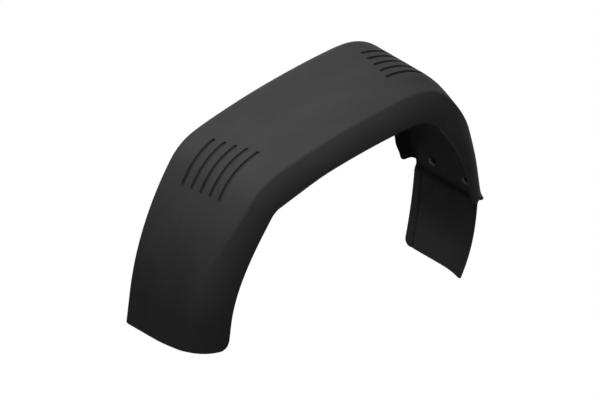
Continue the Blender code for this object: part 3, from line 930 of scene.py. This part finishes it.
def mouldedPlastic(name, look):
    # Moulded polypropylene: an even black with a fine satin grain from the tool, faint flow marks along
    # the length, edges that handling has rubbed a little paler, painted shade in joints and recesses, and
    # painted light that makes the panel paler lower down.
    material, tree, shader, where = startMaterial(name)
    stretched = addNode(tree, "Mapping", Vector=where, Scale=tooling["stretch"]).outputs[0]
    noises = []
    for pattern, place in (("flow", stretched), ("grain", where), ("scuff", where)):
        size, detail, roughness = tooling[pattern]
        noise = addNode(tree, "TexNoise", Vector=place, Scale=1 / size, Detail=detail, Roughness=roughness)
        noises.append(noise.outputs[0])
    flow, grain, scuffs = noises
    colour = mixed(tree, between(tree, flow, 0.0, 1.0), linear(look["hex"]), linear(look["paleHex"]))
    colour = marked(tree, "rimWear", between(tree, scuffs, *tooling["wearAndHighlightBreakup"]), colour, look["wearAndHighlightHex"])
    broken = between(tree, scuffs, *tooling["broken"])
    # painted light: paler lower down the panel
    colour = marked(tree, "paintedLight", broken, colour, look["paintedLightHex"])
    # painted shade: darker in joints and recesses
    colour = marked(tree, "paintedShade", broken, colour, look["paintedShadeHex"])
    tree.links.new(colour, shader.inputs["Base Color"])
    low, high = look["roughness"]
    tree.links.new(between(tree, flow, high, low), shader.inputs["Roughness"])
    bump = addNode(tree, "Bump", Strength=1.0, Distance=tooling["grainDepth"], Height=grain).outputs[0]
    tree.links.new(bump, shader.inputs["Normal"])
    shader.inputs["IOR"].default_value = tooling["ior"]
    shader.inputs["Specular IOR Level"].default_value = tooling["specular"]
    return material


def platedMetal(name, look):
    # Steel with a black zinc coat: nearly black, slightly mottled, with a painted highlight on top of the
    # heads.
    material, tree, shader, where = startMaterial(name)
    spots = addNode(tree, "TexNoise", Vector=where, Scale=1 / look["spot"], Detail=3.0).outputs[0]
    colour = mixed(tree, between(tree, spots, 0.0, 1.0), linear(look["hex"]), linear(look["dullHex"]))
    # painted highlight: the middle of each head's top is paler
    colour = marked(tree, "paintedHeadHighlight", between(tree, spots, *look["wearAndHighlightBreakup"]), colour, look["wearAndHighlightHex"])
    tree.links.new(colour, shader.inputs["Base Color"])
    low, high = look["roughness"]
    tree.links.new(between(tree, spots, low, high), shader.inputs["Roughness"])
    shader.inputs["Metallic"].default_value = 1.0
    return material


# Floor, light and camera

studio = {
    "floorHex": "d0d0d0",
    "floorRoughness": 0.9,
    "floorHeight": -1.9,
    "floorSize": 30.0,
    "white": (1.0, 1.0, 1.0, 1.0),
    "ambient": 0.03,
    "aim": (0.0, -0.11, -0.1),
    "lamps": {  # power in watts, size and place
        "overheadLamp": (18.6, 1.3, (-0.33, -0.25, 1.06)),
        "rearFill": (6.0, 0.8, (0.90, 1.20, 0.10)),
    },
}


def showWhite(tree, output, plain):  # the camera, metal and glass see plain white behind the object
    path = addNode(tree, "LightPath").outputs
    larger = {"operation": "MAXIMUM"}
    direct = addNode(tree, "Math", larger, at0=path["Is Camera Ray"], at1=path["Is Glossy Ray"])
    seen = addNode(tree, "Math", larger, at0=direct.outputs[0], at1=path["Is Transmission Ray"])
    kind = "Background" if output.bl_idname.endswith("World") else "Emission"
    white = addNode(tree, kind, Color=studio["white"], Strength=1.0)
    blend = addNode(tree, "MixShader", at0=seen.outputs[0], at1=plain, at2=white.outputs[0])
    tree.links.new(blend.outputs[0], output.inputs["Surface"])


def buildFloor():
    bpy.ops.object.select_all(action="DESELECT")
    bpy.ops.mesh.primitive_plane_add(size=studio["floorSize"], location=(0.0, 0.0, studio["floorHeight"]))
    floor = namedActive("floor")
    material = bpy.data.materials.new("paleFloor")
    material.use_nodes = True
    tree = material.node_tree
    shader = tree.nodes["Principled BSDF"]
    shader.inputs["Base Color"].default_value = linear(studio["floorHex"])
    shader.inputs["Roughness"].default_value = studio["floorRoughness"]
    showWhite(tree, tree.nodes["Material Output"], shader.outputs[0])
    floor.data.materials.append(material)


def buildLight():
    world = bpy.data.worlds.new("studio")
    world.use_nodes = True
    tree = world.node_tree
    plain = tree.nodes["Background"]
    plain.inputs["Color"].default_value = studio["white"]
    plain.inputs["Strength"].default_value = studio["ambient"]
    showWhite(tree, tree.nodes["World Output"], plain.outputs[0])
    bpy.context.scene.world = world
    for name, (power, size, place) in studio["lamps"].items():
        bpy.ops.object.light_add(type="AREA", location=place)
        lamp = bpy.context.active_object
        lamp.name = name
        lamp.data.energy = power
        lamp.data.size = size
        aim = Vector(studio["aim"]) - Vector(place)
        lamp.rotation_euler = aim.to_track_quat("-Z", "Y").to_euler()


view = {
    "middle": (-0.0283, -0.1104, -0.1822),
    "direction": (-1.0, -1.0, 1.0),  # equal angles to the three axes
    "distance": 4.0,
    "width": 1.1268,
}


def buildCamera():
    back = Vector(view["direction"]).normalized()
    bpy.ops.object.camera_add(location=Vector(view["middle"]) + back * view["distance"])
    camera = bpy.context.active_object
    camera.name = "photoCamera"
    camera.rotation_euler = back.to_track_quat("Z", "Y").to_euler()
    camera.data.type = "ORTHO"
    camera.data.ortho_scale = view["width"]
    bpy.context.scene.camera = camera


def main():
    buildCamera()
    buildFloor()
    buildLight()
    bpy.context.scene.view_settings.view_transform = "Standard"
    print("stage is set")
    holes = boltHoles()
    buildShell(holes, mouldedPlastic("mouldedPolypropylene", shellPlastic))
    buildPanel(holes, mouldedPlastic("mouldedExtensionPlastic", panelPlastic))
    dropHelper(holes)
    buildJoints(platedMetal("blackZincSteel", blackZinc))


main()
